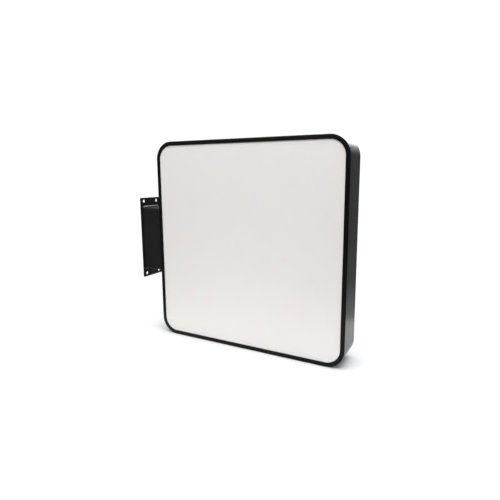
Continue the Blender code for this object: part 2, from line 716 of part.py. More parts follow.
def main():
    clear_scene()
    add_materials()
    root = add_empty("sign_root", (0, 0, 0))
    front_slide = add_empty("front_face_slide", (BOX_X, FRONT, 0))
    back_slide = add_empty("back_face_slide", (BOX_X, -FRONT, 0))
    make_band(root)
    make_splice(root)
    make_face(-1, "front", front_slide)
    make_face(1, "back", back_slide)
    make_bracket(root)
    make_box_joint(root)
    make_gland(root)
    make_light_bars(root)
    for number, x in enumerate(bar_places(), 1):
        make_led_strip(f"front_led_strip_{number}", x, -1, root)
        make_led_strip(f"back_led_strip_{number}", x, 1, root)
    make_driver(root)
    make_terminal_block(root)
    make_leads(root)


main()
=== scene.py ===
import math

import bmesh
import bpy
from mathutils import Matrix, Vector, noise


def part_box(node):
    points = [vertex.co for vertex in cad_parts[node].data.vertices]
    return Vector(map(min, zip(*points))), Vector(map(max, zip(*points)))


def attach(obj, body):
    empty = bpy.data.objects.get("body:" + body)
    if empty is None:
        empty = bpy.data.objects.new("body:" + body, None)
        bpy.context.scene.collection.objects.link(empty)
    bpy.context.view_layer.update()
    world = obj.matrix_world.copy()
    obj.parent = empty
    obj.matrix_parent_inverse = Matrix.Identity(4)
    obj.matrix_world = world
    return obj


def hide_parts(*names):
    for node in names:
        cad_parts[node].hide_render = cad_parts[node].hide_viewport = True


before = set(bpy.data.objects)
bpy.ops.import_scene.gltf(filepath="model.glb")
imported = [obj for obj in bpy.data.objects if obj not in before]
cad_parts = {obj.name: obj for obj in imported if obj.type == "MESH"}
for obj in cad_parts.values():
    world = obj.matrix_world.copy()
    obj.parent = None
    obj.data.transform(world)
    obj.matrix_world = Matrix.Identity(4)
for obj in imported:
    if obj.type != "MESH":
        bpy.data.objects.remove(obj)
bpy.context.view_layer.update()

# The looks of a double-faced light box on a short wall bracket.
# Metres, in the part's frame: +X away from the wall, +Y from the front face to the back, +Z up.

MM = 0.001
X_AXIS = Vector((1, 0, 0))
Y_AXIS = Vector((0, 1, 0))
Z_AXIS = Vector((0, 0, 1))
ROOT = "box_and_bracket"

# Light box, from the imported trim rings
FRONT_LOW, FRONT_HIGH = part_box("front_trim")
BACK_LOW, BACK_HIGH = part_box("back_trim")
HALF = (FRONT_HIGH.z - FRONT_LOW.z) / 2
BOX_X = (FRONT_LOW.x + FRONT_HIGH.x) / 2
HALF_DEPTH = BACK_HIGH.y
FLOOR_Z = FRONT_LOW.z
CORNER_RADIUS = 44 * MM
CORNER_STEPS = 28
WALL = 2 * MM
RIM_WIDTH = 10 * MM
RIM_THICKNESS = 1.5 * MM
LIP_THICKNESS = 2 * MM
LIP_DEPTH = FRONT_HIGH.y - FRONT_LOW.y
SEAM_X = (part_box("splice_plate")[0].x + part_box("splice_plate")[1].x) / 2
SEAM_GAP = 0.4 * MM

# Bracket
PLATE_LOW, PLATE_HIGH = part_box("wall_plate")
ARM_LOW, ARM_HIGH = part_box("bracket_arm")
ARM_WALL = 2 * MM
ARM_CORNER = 4 * MM
PLATE_CORNER = 3 * MM
PLATE_HOLES = [(y * MM, z * MM) for y in (-23.6, 23.6) for z in (-99, 99)]
PLATE_HOLE_RADIUS = 4.25 * MM
CABLE_HOLE_Z = -50 * MM
CABLE_HOLE_RADIUS = 10 * MM
WELD_LEG = 3.4 * MM
BOLT_FLAT = 5 * MM
BOLT_HEAD = 4 * MM
BOLT_SHANK = 3 * MM
BOLT_HOLE_RADIUS = 3.3 * MM
GLAND_FLAT = 10 * MM
GLAND_BORE = 4.5 * MM
GLAND_THREAD = 8 * MM
GLAND_HOLE_RADIUS = 8.3 * MM
DRIVER_HOLE_RADIUS = 2.1 * MM
SET_SCREW_HOLE_RADIUS = 1.75 * MM
FLUSH_HOLE_RADIUS = 2.2 * MM
DRAIN_HOLE_RADIUS = 2.5 * MM
DRAIN_HOLE_X = 185 * MM

# Lighting
LEDS_PER_STRIP = 6
LED_PITCH = 75 * MM
BOARD_BACK = 2.3 * MM
BOARD_THICKNESS = 1.2 * MM
CORE_RADIUS = 0.76 * MM
CORE_OFFSET = 0.72 * MM
SHEATH_RADIUS = 2.45 * MM
STRIP_END_Z = -220.3

# Camera, measured from the middle of the front face
CAMERA_FROM_FACE = Vector((0.466, -0.7915, 0.165))
CAMERA_TURN = 26.91
CAMERA_DIP = 9.01
CAMERA_LENS = 28.66
CAMERA_SHIFT = (-0.034, -0.0212)

# Studio
FLOOR_RADIUS = 0.42
FAR_FLOOR_RADIUS = 2.0
# Far floor grey by distance from the middle, in metres: a painted light falloff.
FAR_FLOOR_PAINTED_FALLOFF = ((0.17, 0.6), (0.3, 0.4), (0.45, 0.22), (0.8, 0.08))
FLOOR_GREY = 0.62
FLOOR_ROUGHNESS = 0.9
ROOM_DIM = 0.16
ROOM_BRIGHT = 0.9
ROOM_DIM_BELOW = 0.08
ROOM_BRIGHT_ABOVE = 0.5
BACKDROP = 1.05


# ---------------- node materials

class Graph:
    """A material's node tree with short ways to add nodes; object coordinates are in metres."""

    def __init__(self, name):
        self.material = bpy.data.materials.new(name)
        self.material.use_nodes = True
        self.tree = self.material.node_tree
        self.shader = self.tree.nodes["Principled BSDF"]
        self.position = self.node("ShaderNodeTexCoord").outputs["Object"]

    def node(self, kind, **settings):
        made = self.tree.nodes.new(kind)
        for key, value in settings.items():
            setattr(made, key, value)
        return made

    def link(self, output, socket):
        self.tree.links.new(output, socket)

    def noise(self, scale, detail=3.0, roughness=0.55, stretch=None):
        """A noise factor with features about 1 / scale metres apart."""
        texture = self.node("ShaderNodeTexNoise")
        texture.inputs["Scale"].default_value = scale
        texture.inputs["Detail"].default_value = detail
        texture.inputs["Roughness"].default_value = roughness
        source = self.position
        if stretch:
            mapping = self.node("ShaderNodeMapping")
            mapping.inputs["Scale"].default_value = stretch
            self.link(source, mapping.inputs["Vector"])
            source = mapping.outputs["Vector"]
        self.link(source, texture.inputs["Vector"])
        return texture.outputs["Fac"]

    def span(self, factor, low, high, start=0.3, stop=0.7):
        """The factor from start to stop, spread over low to high."""
        spread = self.node("ShaderNodeMapRange")
        limits = {"From Min": start, "From Max": stop, "To Min": low, "To Max": high}
        for socket, value in limits.items():
            spread.inputs[socket].default_value = value
        self.link(factor, spread.inputs["Value"])
        return spread.outputs["Result"]

    def blend(self, factor, first, second):
        """A colour between two colours or colour outputs."""
        mix = self.node("ShaderNodeMix", data_type="RGBA")
        self.link(factor, mix.inputs["Factor"])
        for socket, colour in ((mix.inputs[6], first), (mix.inputs[7], second)):
            if isinstance(colour, tuple):
                socket.default_value = (*colour, 1.0)
            else:
                self.link(colour, socket)
        return mix.outputs[2]

    def bump(self, height, depth):
        """Relief of the given depth in metres."""
        relief = self.node("ShaderNodeBump")
        relief.inputs["Distance"].default_value = depth
        self.link(height, relief.inputs["Height"])
        return relief.outputs["Normal"]

    def finish(self, colour, roughness, normal, **values):
        """Wire the shader; values are plain numbers for its other sockets."""
        for socket, output in (("Base Color", colour), ("Roughness", roughness), ("Normal", normal)):
            self.link(output, self.shader.inputs[socket])
        for socket, value in values.items():
            self.shader.inputs[socket.replace("_", " ")].default_value = value
        return self.material


def powder_coat(name, dark, light, low, high, grain, relief):
    """Baked paint: fine orange peel, cloudy gloss and a trace of dust."""
    graph = Graph(name)
    clouds = graph.noise(9, 4)
    specks = graph.noise(2600, 2)
    colour = graph.blend(graph.span(clouds, 0, 1), dark, light)
    dust = tuple(channel * 2.2 + 0.004 for channel in light)
    colour = graph.blend(graph.span(specks, 0, 0.35, 0.66, 0.78), colour, dust)
    gloss = graph.span(graph.noise(22, 5), low, high)
    normal = graph.bump(graph.noise(grain, 3), relief)
    return graph.finish(colour, gloss, normal, IOR=1.55, Specular_Tint=(0.16, 0.16, 0.16, 1.0))


def opal_acrylic():
    """Cast opal sheet: milky body, polished skin with a faint slow wave."""
    graph = Graph("opal_acrylic")
    tint = graph.blend(graph.span(graph.noise(3.5, 3), 0, 1), (0.726, 0.698, 0.683), (0.732, 0.704, 0.689))
    gloss = graph.span(graph.noise(2, 2), 0.277, 0.295)
    wave = graph.bump(graph.noise(14, 2), 0.00004)
    return graph.finish(
        tint, gloss, wave, Subsurface_Weight=0.25, Subsurface_Scale=0.004, IOR=1.49,
        Specular_Tint=(0.4, 0.4, 0.4, 1.0),
    )


def foam():
    """Closed-cell foam strip."""
    graph = Graph("gasket_foam")
    cells = graph.noise(2400, 3, 0.7)
    colour = graph.blend(graph.span(cells, 0, 1), (0.012, 0.012, 0.012), (0.045, 0.045, 0.045))
    return graph.finish(colour, graph.span(cells, 0.75, 0.95), graph.bump(cells, 0.0003))


def metal(name, dark, light, low, high, stretch, depth=0.00002):
    """Bare metal with a drawn or rolled grain along one axis."""
    graph = Graph(name)
    grain = graph.noise(900, 4, 0.6, stretch)
    clouds = graph.noise(60, 3)
    colour = graph.blend(graph.span(grain, 0, 1), dark, light)
    gloss = graph.span(clouds, low, high)
    return graph.finish(colour, gloss, graph.bump(grain, depth), Metallic=1.0)


def moulded(name, dark, light, low, high, relief=0.00003):
    """Moulded plastic with a fine spark-eroded grain."""
    graph = Graph(name)
    colour = graph.blend(graph.span(graph.noise(40, 3), 0, 1), dark, light)
    gloss = graph.span(graph.noise(150, 3), low, high)
    return graph.finish(colour, gloss, graph.bump(graph.noise(3000, 2), relief))


def circuit_board():
    """White solder mask, with the copper below it showing as soft relief."""
    graph = Graph("circuit_board")
    copper = graph.noise(130, 1, 0.2, (1, 1, 0.25))
    colour = graph.blend(graph.span(copper, 0, 1, 0.47, 0.53), (0.80, 0.80, 0.76), (0.87, 0.87, 0.84))
    return graph.finish(colour, graph.span(copper, 0.3, 0.42), graph.bump(copper, 0.00004))


def lens_plastic():
    """Clear moulded lens over a diode."""
    graph = Graph("lens_plastic")
    haze = graph.span(graph.noise(400, 2), 0.05, 0.14)
    colour = graph.blend(graph.span(graph.noise(90, 2), 0, 1), (0.93, 0.94, 0.93), (0.98, 0.98, 0.97))
    normal = graph.bump(graph.noise(500, 2), 0.00002)
    return graph.finish(colour, haze, normal, Transmission_Weight=0.85, IOR=1.49)


def weld_metal():
    """A painted-over weld bead: rough ripples whose crests are painted brighter, partly bare metal showing
    through and partly a painted highlight.
    """
    graph = Graph("weld_metal")
    crests_and_highlight = graph.noise(420, 4, 0.65)
    # Bright crest colour: bare metal through the paint, and a painted highlight along the bead.
    colour = graph.blend(graph.span(crests_and_highlight, 0, 1, 0.40, 0.62), (0.06, 0.062, 0.062), (0.44, 0.46, 0.46))
    return graph.finish(colour, graph.span(crests_and_highlight, 0.45, 0.28), graph.bump(crests_and_highlight, 0.0004), Metallic=0.75)


def make_materials():
    """Every finish in the part, by the short name its pieces are made with."""
    trim_greys = (0.003, 0.003, 0.0032), (0.0045, 0.0045, 0.0047)
    band_greys = (0.004, 0.0042, 0.0042), (0.006, 0.0062, 0.0062)
    bracket_greys = (0.008, 0.008, 0.008), (0.012, 0.012, 0.012)
    inside_whites = (0.70, 0.70, 0.68), (0.78, 0.78, 0.76)
    zinc_greys = (0.52, 0.53, 0.53), (0.70, 0.70, 0.66)
    aluminium_greys = (0.62, 0.62, 0.63), (0.74, 0.74, 0.75)
    brass_yellows = (0.62, 0.45, 0.18), (0.75, 0.56, 0.25)
    return {
        "trim": powder_coat("trim_paint", *trim_greys, 0.21, 0.27, 1500, 0.000012),
        "band": powder_coat("band_paint", *band_greys, 0.21, 0.27, 1300, 0.000012),
        "bracket": powder_coat("bracket_paint", *bracket_greys, 0.36, 0.46, 900, 0.00003),
        "inside": powder_coat("inside_white", *inside_whites, 0.45, 0.6, 1200, 0.00003),
        "opal": opal_acrylic(),
        "foam": foam(),
        "zinc": metal("zinc_plate", *zinc_greys, 0.28, 0.4, (1, 1, 1)),
        "aluminium": metal("rolled_aluminium", *aluminium_greys, 0.30, 0.44, (14, 14, 0.6)),
        "brass": metal("terminal_brass", *brass_yellows, 0.28, 0.4, (1, 1, 1)),
        "white": moulded("white_moulding", (0.74, 0.74, 0.71), (0.80, 0.80, 0.78), 0.38, 0.5),
        "black": moulded("black_nylon", (0.018, 0.018, 0.019), (0.03, 0.03, 0.031), 0.42, 0.56),
        "rubber": moulded("seal_rubber", (0.02, 0.02, 0.02), (0.035, 0.035, 0.035), 0.7, 0.85, 0.00006),
        "red": moulded("red_sheath", (0.33, 0.016, 0.014), (0.42, 0.026, 0.02), 0.35, 0.45),
        "sheath": moulded("black_sheath", (0.016, 0.016, 0.016), (0.026, 0.026, 0.026), 0.4, 0.5),
        "board": circuit_board(),
        "lens": lens_plastic(),
        "phosphor": moulded("phosphor", (0.80, 0.62, 0.10), (0.86, 0.70, 0.18), 0.45, 0.6),
        "weld": weld_metal(),
    }


# ---------------- mesh building

def circle(radius):
    return lambda angle: radius


def hexagon(flat, limit=1.0):
    """Hexagon with the given half width across flats, its corners cut back to limit."""
    return lambda angle: min(flat / math.cos(angle % (math.tau / 6) - math.tau / 12), limit)


def cross(radius):
    """Four-armed driver recess."""
    return lambda angle: radius if math.cos(4 * angle) > 0.7 else 0.4 * radius


def skin(bm, rings):
    """Faces between neighbouring closed rings of vertices, with the first and last ring filled."""
    count = len(rings[0])
    for ring, following in zip(rings, rings[1:]):
        for i in range(count):
            j = (i + 1) % count
            bm.faces.new((ring[i], ring[j], following[j], following[i]))
    bm.faces.new(rings[0])
    bm.faces.new(list(reversed(rings[-1])))


def loft(bm, rows, closed_path=True, indices=None):
    """Join rows of points into one closed skin; a row of one point is a tip on the axis."""
    rings = [[bm.verts.new(point) for point in row] for row in rows]
    count = max(len(ring) for ring in rings)
    spans = count if closed_path else count - 1
    for number, (ring, following) in enumerate(zip(rings, rings[1:] + rings[:1])):
        if len(ring) == len(following) == 1:
            continue
        for i in range(spans):
            j = (i + 1) % count
            corners = [ring[i % len(ring)], ring[j % len(ring)]]
            corners += [following[j % len(following)], following[i % len(following)]]
            face = bm.faces.new(list(dict.fromkeys(corners)))
            if indices:
                face.material_index = indices[number]
    if not closed_path:
        bm.faces.new([ring[0] for ring in rings])
        bm.faces.new([ring[-1] for ring in reversed(rings)])


def add_turned(bm, base, axis, profile, sides=36):
    """Turn a profile of (distance, outline) about an axis; outline None is a point on the axis."""
    turn = axis.to_track_quat("Z", "X")
    rows = []
    for distance, outline in profile:
        row = []
        for k in range(sides if outline else 1):
            angle = math.tau * k / sides
            reach = outline(angle) if outline else 0.0
            row.append(base + turn @ Vector((reach * math.cos(angle), reach * math.sin(angle), distance)))
        rows.append(row)
    loft(bm, rows)


def stations(*pairs):
    """A turned profile from millimetres: a number is a radius, a function an outline, None the axis."""
    profile = []
    for distance, reach in pairs:
        outline = circle(reach * MM) if isinstance(reach, (int, float)) else reach
        profile.append((distance * MM, outline))
    return profile


def add_prism(bm, outline, sweep):
    near = [Vector(point) for point in outline]
    loft(bm, [(point, point + sweep) for point in near], closed_path=False)


def add_block(bm, low, high):
    corners = [(low.y, low.z), (high.y, low.z), (high.y, high.z), (low.y, high.z)]
    add_prism(bm, [(low.x, y, z) for y, z in corners], X_AXIS * (high.x - low.x))


def make_object(name, bm, materials, sharp=32):
    bmesh.ops.recalc_face_normals(bm, faces=bm.faces)
    mesh = bpy.data.meshes.new(name)
    bm.to_mesh(mesh)
    bm.free()
    mesh.shade_smooth()
    mesh.set_sharp_from_angle(angle=math.radians(sharp))
    for material in materials:
        mesh.materials.append(material)
    item = bpy.data.objects.new(name, mesh)
    bpy.context.scene.collection.objects.link(item)
    return item


def place(item, body, nodes=()):
    """Ride on a body and stand for CAD nodes, hiding them."""
    if item.type == "MESH":
        shading = item.modifiers.new("even_shading", "WEIGHTED_NORMAL")
        shading.keep_sharp = True
    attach(item, body)
    if nodes:
        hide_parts(*nodes)
    return item


def soften(item, width, segments=3, angle=40):
    """Rounded edges, kept tight on flat faces."""
    edge = item.modifiers.new("edge_round", "BEVEL")
    edge.width = width
    edge.segments = segments
    edge.limit_method = "ANGLE"
    edge.angle_limit = math.radians(angle)
    edge.harden_normals = True


def cut(item, bm):
    """Cut a helper mesh out of the piece and keep only the result."""
    helper = make_object(item.name + "_helper", bm, [])
    change = item.modifiers.new("cut", "BOOLEAN")
    change.operation = "DIFFERENCE"
    change.solver = "EXACT"
    change.object = helper
    bpy.context.view_layer.update()
    evaluated = item.evaluated_get(bpy.context.evaluated_depsgraph_get())
    result = bpy.data.meshes.new_from_object(evaluated)
    item.modifiers.clear()
    old = item.data
    item.data = result
    bpy.data.meshes.remove(old)
    bpy.data.objects.remove(helper, do_unlink=True)
    item.data.shade_smooth()
    item.data.set_sharp_from_angle(angle=math.radians(32))


def block(name, low, high, material):
    bm = bmesh.new()
    add_block(bm, low, high)
    return make_object(name, bm, [material])


def turned_piece(name, node, body, material, base, axis, profile, sides=36):
    """One turned piece that stands for a CAD node."""
    bm = bmesh.new()
    add_turned(bm, base, axis, profile, sides)
    place(make_object(name, bm, [material]), body, [node])


def straight_hole(bm, base, axis, radius, length=6 * MM):
    profile = [(0, None), (0, circle(radius)), (length, circle(radius)), (length, None)]
    add_turned(bm, base, axis, profile, 40)


def middle_of(node):
    low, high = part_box(node)
    return (low + high) / 2


def head_of(node):
    """The middle of a CAD node's +X side, where a screw along X has its head."""
    low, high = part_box(node)
    return Vector((high.x, (low.y + high.y) / 2, (low.z + high.z) / 2))


def hole_for(bm, node, x, radius):
    """A hole along +X from x, on the middle line of the CAD node that goes through it."""
    middle = middle_of(node)
    straight_hole(bm, Vector((x, middle.y, middle.z)), X_AXIS, radius)


def outer_point(node):
    """Where a screw along Z enters the light box, and the direction it points."""
    middle = middle_of(node)
    end = math.copysign(1, middle.z)
    return Vector((middle.x, middle.y, end * HALF)), Z_AXIS * -end


def rounded_rectangle(half_y, half_z, radius, steps):
    points = []
    for quarter in range(4):
        middle = math.radians(90 * quarter + 45)
        centre_y = math.copysign(half_y - radius, math.cos(middle))
        centre_z = math.copysign(half_z - radius, math.sin(middle))
        for step in range(steps + 1):
            angle = math.radians(90 * (quarter + step / steps))
            points.append((centre_y + radius * math.cos(angle), centre_z + radius * math.sin(angle)))
    return points


def box_path(offset, y, seam_x=None):
    """The light box's outline moved inwards by offset, at depth y; open at the seam if given."""
    radius = CORNER_RADIUS - offset
    reach = HALF - CORNER_RADIUS
    points = []
    for quarter in (3, 0, 1, 2):
        middle = math.radians(90 * quarter + 45)
        centre_x = BOX_X + math.copysign(reach, math.cos(middle))
        centre_z = math.copysign(reach, math.sin(middle))
        for step in range(CORNER_STEPS + 1):
            angle = math.radians(90 * (quarter + step / CORNER_STEPS))
            x = centre_x + radius * math.cos(angle)
            points.append((x, y, centre_z + radius * math.sin(angle)))
    if seam_x is not None:
        points.insert(0, (seam_x + SEAM_GAP / 2, y, offset - HALF))
        points.append((seam_x - SEAM_GAP / 2, y, offset - HALF))
    return points


def face_y(side, depth):
    """y at a depth below the front plane (side -1) or the back plane (side 1)."""
    return side * (HALF_DEPTH - depth)


def arc(centre, radius, start, stop, steps=5):
    """Points on an arc in a section; angles in degrees."""
    points = []
    for step in range(steps + 1):
        angle = math.radians(start + (stop - start) * step / steps)
        points.append((centre[0] + radius * math.cos(angle), centre[1] + radius * math.sin(angle)))
    return points


# ---------------- faces

def make_trim(side, label, body, paint):
    """Rim and lip of one face: rounded outer edge, faintly crowned rim, eased inner edge."""
    outer = 1.8 * MM
    ease = 0.5 * MM
    nick = 0.3 * MM
    crown = 0.12 * MM
    ridge = 5.0
    section = arc((outer, outer), outer, 180, 270, 8)
    for offset in (3.2, 4.0, 4.8, 5.6, 6.4, 7.2):
        section.append((offset * MM, crown * ((offset - ridge) / 3.2) ** 2))
    section += arc((RIM_WIDTH - ease, ease + crown / 2), ease, 270, 360, 4)
    section += [(RIM_WIDTH, RIM_THICKNESS), (LIP_THICKNESS, RIM_THICKNESS)]
    section.append((LIP_THICKNESS, LIP_DEPTH - nick))
    section += [(LIP_THICKNESS - nick, LIP_DEPTH), (nick, LIP_DEPTH), (nick * 0.3, LIP_DEPTH - nick * 0.3)]
    section.append((0, LIP_DEPTH - nick))
    bm = bmesh.new()
    loft(bm, [box_path(offset, face_y(side, depth)) for offset, depth in section])
    ring = make_object(label + "_trim_ring", bm, [paint])
    bm = bmesh.new()
    for number in range(1, 5):
        mouth, inward = outer_point(f"{label}_set_screw_{number}")
        hole = SET_SCREW_HOLE_RADIUS / MM
        profile = stations((-1, None), (-1, 2.3), (-0.01, 2.3), (0.5, hole), (4, hole), (4, None))
        add_turned(bm, mouth, inward, profile, 32)
    cut(ring, bm)
    place(ring, body, [label + "_trim"])


def make_set_screws(label, body, zinc):
    """Cup-point set screws with a hexagon socket, just below the lip's surface."""
    for number in range(1, 5):
        node = f"{label}_set_screw_{number}"
        low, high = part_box(node)
        mouth, inward = outer_point(node)
        mouth.z = high.z if mouth.z > 0 else low.z
        radius = (high.x - low.x) / 2
        length = high.z - low.z
        socket = hexagon(0.75 * MM)
        profile = stations((1.0, None), (1.0, socket), (0.1, socket), (0, 0.95))
        profile += [(0, circle(radius - 0.25 * MM)), (0.25 * MM, circle(radius))]
        profile += [(length - 0.3 * MM, circle(radius)), (length, circle(radius - 0.3 * MM))]
        profile += [(length, circle(0.6 * MM)), (length - 0.3 * MM, None)]
        name = f"{label}_socket_screw_{number}"
        turned_piece(name, node, body, zinc, mouth, inward, profile, 24)


def make_panel(side, label, body, opal):
    """Opal sheet with small polished edges."""
    low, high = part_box(label + "_panel")
    near = high.y if side > 0 else low.y
    far = low.y if side > 0 else high.y
    offset = low.x - (BOX_X - HALF)
    ease = 0.4 * MM * side
    section = [(offset + 6 * MM, near), (offset + 0.4 * MM, near), (offset, near - ease)]
    section += [(offset, far + ease), (offset + 0.4 * MM, far), (offset + 6 * MM, far)]
    bm = bmesh.new()
    skin(bm, [[bm.verts.new(point) for point in box_path(inset, y)] for inset, y in section])
    sheet = make_object(label + "_opal_sheet", bm, [opal], 60)
    place(sheet, body, [label + "_panel"])


def make_gasket(label, body, material):
    """Foam strip with soft shoulders."""
    low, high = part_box(label + "_gasket")
    offset = low.x - (BOX_X - HALF)
    width = 5 * MM
    half = (high.y - low.y) / 2
    middle = (low.y + high.y) / 2
    section = arc((offset + half, middle), half, 90, 270, 6)
    section += arc((offset + width - half, middle), half, -90, 90, 6)
    bm = bmesh.new()
    loft(bm, [box_path(inset, y) for inset, y in section])
    place(make_object(label + "_foam_strip", bm, [material], 60), body, [label + "_gasket"])


# ---------------- frame band

def countersink(bm, base, axis):
    add_turned(bm, base, axis, stations((-1, None), (-1, 5.15), (1.85, 2.3), (6, 2.3), (6, None)), 32)


def make_band(paint, inside):
    """Bent side wall: eased shoulders beside each lip, white paint on its inner faces."""
    tongue = 2.3 * MM
    inner = 3.9 * MM
    shoulder = LIP_DEPTH + 0.3 * MM
    ledge = abs(FRONT_LOW.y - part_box("frame_band")[0].y)
    step = 1.7 * MM
    nick = 0.25 * MM
    half_section = [
        (0, shoulder + nick), (nick * 0.3, shoulder + nick * 0.3), (nick, shoulder),
        (tongue, shoulder), (tongue, ledge), (RIM_WIDTH, ledge), (RIM_WIDTH, ledge + 1.6 * MM),
        (inner, ledge + 1.6 * MM), (inner, shoulder + step), (WALL, shoulder + step),
    ]
    section = [(offset, face_y(-1, depth)) for offset, depth in half_section]
    section += [(offset, face_y(1, depth)) for offset, depth in reversed(half_section)]
    half_indices = [0, 0, 0, 0, 1, 1, 1, 1, 1]
    indices = half_indices + [1] + list(reversed(half_indices)) + [0]
    bm = bmesh.new()
    loft(bm, [box_path(offset, y, SEAM_X) for offset, y in section], False, indices)
    band = make_object("band_shell", bm, [paint, inside])

    bm = bmesh.new()
    side = Vector((BOX_X - HALF - MM, 0, 0))
    straight_hole(bm, side, X_AXIS, GLAND_HOLE_RADIUS)
    for number in range(1, 5):
        hole_for(bm, f"arm_bolt_{number}", side.x, BOLT_HOLE_RADIUS)
    for number in (1, 2):
        hole_for(bm, f"driver_screw_{number}", side.x, DRIVER_HOLE_RADIUS)
    for number in range(1, 7):
        countersink(bm, *outer_point(f"bar_screw_{number}"))
    for number in (1, 2):
        countersink(bm, *outer_point(f"splice_rivet_{number}"))
    for way in (-1, 1):
        drain = Vector((BOX_X + way * DRAIN_HOLE_X, 0, -HALF - MM))
        straight_hole(bm, drain, Z_AXIS, DRAIN_HOLE_RADIUS)
    cut(band, bm)
    place(band, ROOT, ["frame_band"])


def make_flush_screws(zinc, aluminium):
    """Countersunk cross-recess screws, and the splice's blind rivets."""
    for number in range(1, 7):
        node = f"bar_screw_{number}"
        mouth, inward = outer_point(node)
        profile = stations((1.6, None), (1.3, cross(1.1 * MM)), (0.12, cross(2.0 * MM)), (0.1, 2.3))
        profile += stations((0.1, 3.45), (0.22, 3.58), (1.8, 1.9))
        for turn in range(9):
            crest = 2.2 + turn * 0.5
            profile += stations((crest, 1.9), (crest + 0.25, 1.65))
        profile += stations((6.8, 1.7), (7, 1.5), (7, None))
        turned_piece(f"flush_screw_{number}", node, ROOT, zinc, mouth, inward, profile, 32)
    for number in (1, 2):
        node = f"splice_rivet_{number}"
        mouth, inward = outer_point(node)
        profile = stations((0.5, None), (0.5, 0.8), (0.1, 0.95), (0.1, 3.5), (0.2, 3.58), (1.8, 1.9))
        profile += stations((4.6, 1.9), (4.7, 3.0), (5.2, 3.2), (6.0, 2.7), (6.4, 1.6), (6.4, None))
        turned_piece(f"blind_rivet_{number}", node, ROOT, aluminium, mouth, inward, profile, 32)


def make_splice(aluminium):
    """Plate that bridges the butt joint of the bent band."""
    plate = block("splice_bridge", *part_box("splice_plate"), aluminium)
    bm = bmesh.new()
    for number in (1, 2):
        mouth, inward = outer_point(f"splice_rivet_{number}")
        straight_hole(bm, mouth, inward, FLUSH_HOLE_RADIUS, 8 * MM)
    cut(plate, bm)
    soften(plate, 0.3 * MM)
    place(plate, ROOT, ["splice_plate"])


# ---------------- bracket

def make_wall_plate(paint):
    """Laser-cut plate with eased edges, four fixing holes and a cable hole."""
    half_y = PLATE_HIGH.y
    half_z = PLATE_HIGH.z
    ease = 0.35 * MM
    rows = []
    for x, inset in ((0, ease), (ease, 0), (PLATE_HIGH.x - ease, 0), (PLATE_HIGH.x, ease)):
        ring = rounded_rectangle(half_y - inset, half_z - inset, PLATE_CORNER - inset, 6)
        rows.append([(x, y, z) for y, z in ring])
    bm = bmesh.new()
    skin(bm, [[bm.verts.new(point) for point in row] for row in rows])
    plate = make_object("bracket_wall_plate", bm, [paint])
    bm = bmesh.new()
    spots = [(y, z, PLATE_HOLE_RADIUS) for y, z in PLATE_HOLES] + [(0, CABLE_HOLE_Z, CABLE_HOLE_RADIUS)]
    thick = PLATE_HIGH.x
    edge = 0.3 * MM
    for y, z, radius in spots:
        hole = circle(radius)
        flare = circle(radius + edge)
        profile = [(-MM, None), (-MM, flare), (0, flare), (edge, hole)]
        profile += [(thick - edge, hole), (thick, flare), (thick + MM, flare), (thick + MM, None)]
        add_turned(bm, Vector((0, y, z)), X_AXIS, profile, 40)
    cut(plate, bm)
    place(plate, ROOT, ["wall_plate"])


def make_arm(paint):
    """Folded sheet box with rounded folds."""
    ease = 0.3 * MM
    near = ARM_LOW.x
    far = ARM_HIGH.x
    rows = []
    section = [(near, ease), (near + ease, 0), (far - ease, 0), (far, ease)]
    section += [(far, ARM_WALL), (near, ARM_WALL)]
    for x, inset in section:
        ring = rounded_rectangle(ARM_HIGH.y - inset, ARM_HIGH.z - inset, ARM_CORNER - inset, 10)
        rows.append([(x, y, z) for y, z in ring])
    bm = bmesh.new()
    loft(bm, rows)
    place(make_object("bracket_box_arm", bm, [paint]), ROOT, ["bracket_arm"])


def make_weld(material):
    """Uneven fillet beads along the arm's top and bottom edges, where it meets the wall plate."""
    corner = 8
    for name, end in (("upper_weld_bead", 1), ("lower_weld_bead", -1)):
        count = round(2 * (ARM_HIGH.y - ARM_CORNER) / (0.6 * MM))
        rows = [[] for _ in range(corner + 2)]
        for i in range(count + 1):
            t = i / count
            y = (2 * t - 1) * (ARM_HIGH.y - ARM_CORNER)
            wander = noise.noise(Vector((y * 110, end * 2.0, 3)))
            ripple = 0.5 + 0.5 * math.cos((y + wander * MM) / (2.3 * MM) * math.tau)
            taper = min(1.0, 0.35 + 12 * t, 0.35 + 12 * (1 - t))
            leg = WELD_LEG * taper * (0.78 + 0.16 * wander + 0.08 * ripple)
            rows[0].append((PLATE_HIGH.x, y, end * (ARM_HIGH.z - 0.3 * MM)))
            for k in range(corner + 1):
                angle = math.radians(90 * k / corner)
                reach = leg * (0.62 + 0.38 * math.sin(2 * angle) * (0.6 + 0.4 * ripple))
                if 0 < k < corner:
                    reach *= 1.35
                up = end * (ARM_HIGH.z + reach * math.cos(angle))
                rows[k + 1].append((PLATE_HIGH.x + reach * math.sin(angle), y, up))
        bm = bmesh.new()
        loft(bm, rows, False)
        place(make_object(name, bm, [material], 60), ROOT)


def bolt_profile(flat, head, shank, length):
    """Hexagon bolt from the top of its head to its end."""
    pitch = 0.9 * MM
    profile = [(0, None), (0, circle(flat * 0.9)), (0.25 * MM, hexagon(flat, flat * 1.03))]
    profile += [(0.75 * MM, hexagon(flat)), (head - 0.2 * MM, hexagon(flat))]
    profile += [(head, hexagon(flat, flat * 1.06)), (head, circle(shank))]
    for turn in range(int((length - head - 2 * MM) / pitch)):
        crest = head + 1.5 * MM + turn * pitch
        profile += [(crest, circle(shank)), (crest + pitch / 2, circle(shank * 0.9))]
    profile += [(length - 0.3 * MM, circle(shank * 0.95)), (length, circle(shank * 0.8))]
    return profile + [(length, None)]


